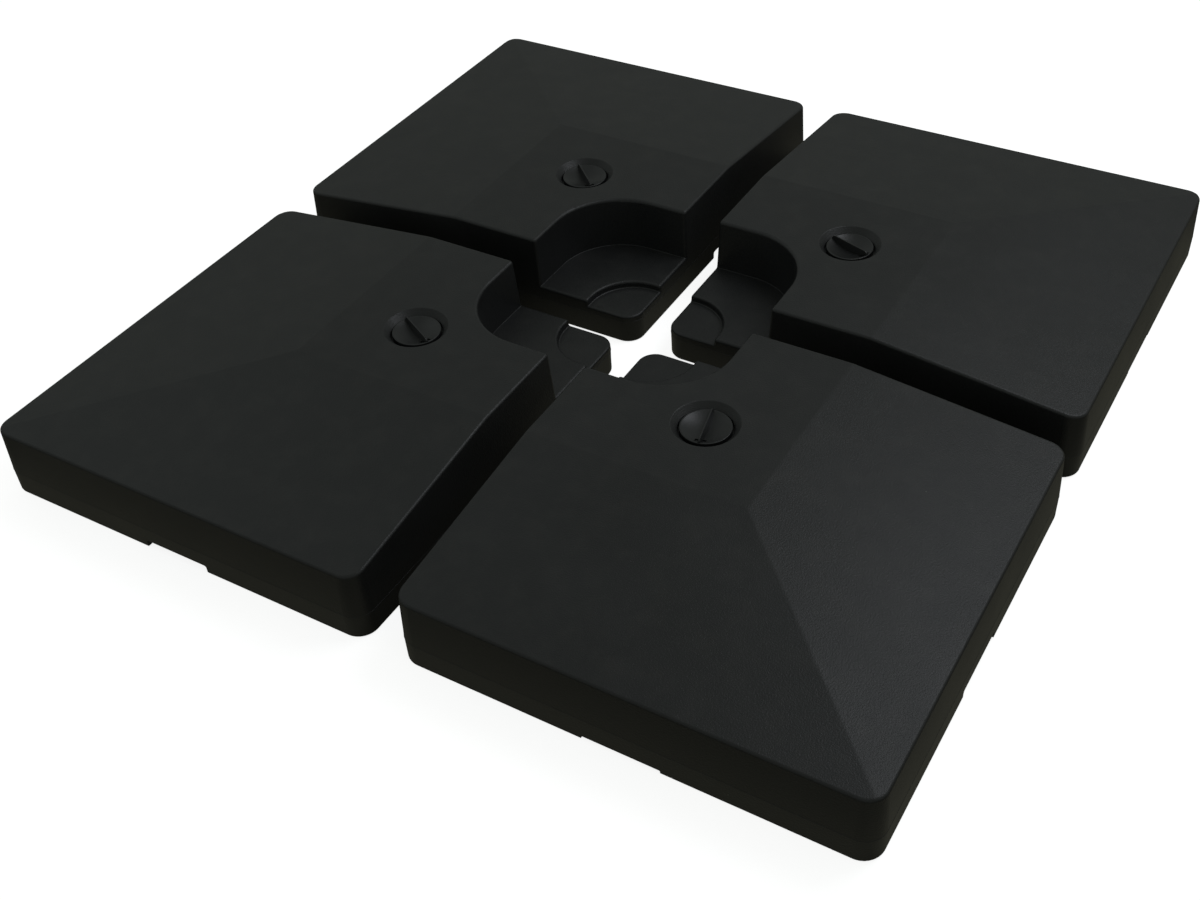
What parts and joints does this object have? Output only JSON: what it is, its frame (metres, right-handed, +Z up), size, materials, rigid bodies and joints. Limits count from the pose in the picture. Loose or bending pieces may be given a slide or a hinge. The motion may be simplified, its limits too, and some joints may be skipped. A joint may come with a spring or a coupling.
{
  "type": "parasol base weight",
  "caption": "Weight set for a cantilever parasol: square hollow tanks with sloping tops and screw filler caps, laid around an open cross that takes the parasol's foot.",
  "frame": {"origin": "on the ground at the centre of the open cross between the tanks", "axes": "+Z up; +X and +Y along the arms of the cross, parallel to the tanks' sides; the front tank is at +X -Y, the right one at +X +Y, the back one at -X +Y and the left one at -X -Y"},
  "size_m": [1.041, 1.041, 0.1115],
  "materials": {
    "tank_shell": "satin",
    "filler_cap": "satin",
    "cap_seal": "matte",
    "sand": "matte"
  },
  "bodies": {
    "front_tank": {"tank_front": "tank_shell", "ballast_front": "sand"},
    "front_seal": {"cap_seal_front": "cap_seal"},
    "front_cap": {"filler_cap_front": "filler_cap"},
    "left_tank": {"tank_left": "tank_shell", "ballast_left": "sand"},
    "left_seal": {"cap_seal_left": "cap_seal"},
    "left_cap": {"filler_cap_left": "filler_cap"},
    "back_tank": {"tank_back": "tank_shell", "ballast_back": "sand"},
    "back_seal": {"cap_seal_back": "cap_seal"},
    "back_cap": {"filler_cap_back": "filler_cap"},
    "right_tank": {"tank_right": "tank_shell", "ballast_right": "sand"},
    "right_seal": {"cap_seal_right": "cap_seal"},
    "right_cap": {"filler_cap_right": "filler_cap"}
  },
  "joints": [
    {"name": "front_cap_rise", "type": "slide", "parent": "front_tank", "child": "front_seal", "axis": [0, 0, 1], "range_m": [0, 0.01]},
    {"name": "front_cap_turn", "type": "hinge", "parent": "front_seal", "child": "front_cap", "pos_m": [0.1845, -0.1845, 0.1072], "axis": [0, 0, 1], "range_deg": [0, 900]},
    {"name": "left_tank_lift", "type": "slide", "parent": "front_tank", "child": "left_tank", "axis": [0, 0, 1], "range_m": [0, 0.15]},
    {"name": "left_cap_rise", "type": "slide", "parent": "left_tank", "child": "left_seal", "axis": [0, 0, 1], "range_m": [0, 0.01]},
    {"name": "left_cap_turn", "type": "hinge", "parent": "left_seal", "child": "left_cap", "pos_m": [-0.1845, -0.1845, 0.1072], "axis": [0, 0, 1], "range_deg": [0, 900]},
    {"name": "back_tank_lift", "type": "slide", "parent": "front_tank", "child": "back_tank", "axis": [0, 0, 1], "range_m": [0, 0.15]},
    {"name": "back_cap_rise", "type": "slide", "parent": "back_tank", "child": "back_seal", "axis": [0, 0, 1], "range_m": [0, 0.01]},
    {"name": "back_cap_turn", "type": "hinge", "parent": "back_seal", "child": "back_cap", "pos_m": [-0.1845, 0.1845, 0.1072], "axis": [0, 0, 1], "range_deg": [0, 900]},
    {"name": "right_tank_lift", "type": "slide", "parent": "front_tank", "child": "right_tank", "axis": [0, 0, 1], "range_m": [0, 0.15]},
    {"name": "right_cap_rise", "type": "slide", "parent": "right_tank", "child": "right_seal", "axis": [0, 0, 1], "range_m": [0, 0.01]},
    {"name": "right_cap_turn", "type": "hinge", "parent": "right_seal", "child": "right_cap", "pos_m": [0.1845, 0.1845, 0.1072], "axis": [0, 0, 1], "range_deg": [0, 900]}
  ],
  "couplings": [
    {"joint": "front_cap_turn", "follows": "front_cap_rise", "rad_per_m": 1570.8},
    {"joint": "left_cap_turn", "follows": "left_cap_rise", "rad_per_m": 1570.8},
    {"joint": "back_cap_turn", "follows": "back_cap_rise", "rad_per_m": 1570.8},
    {"joint": "right_cap_turn", "follows": "right_cap_rise", "rad_per_m": 1570.8}
  ]
}
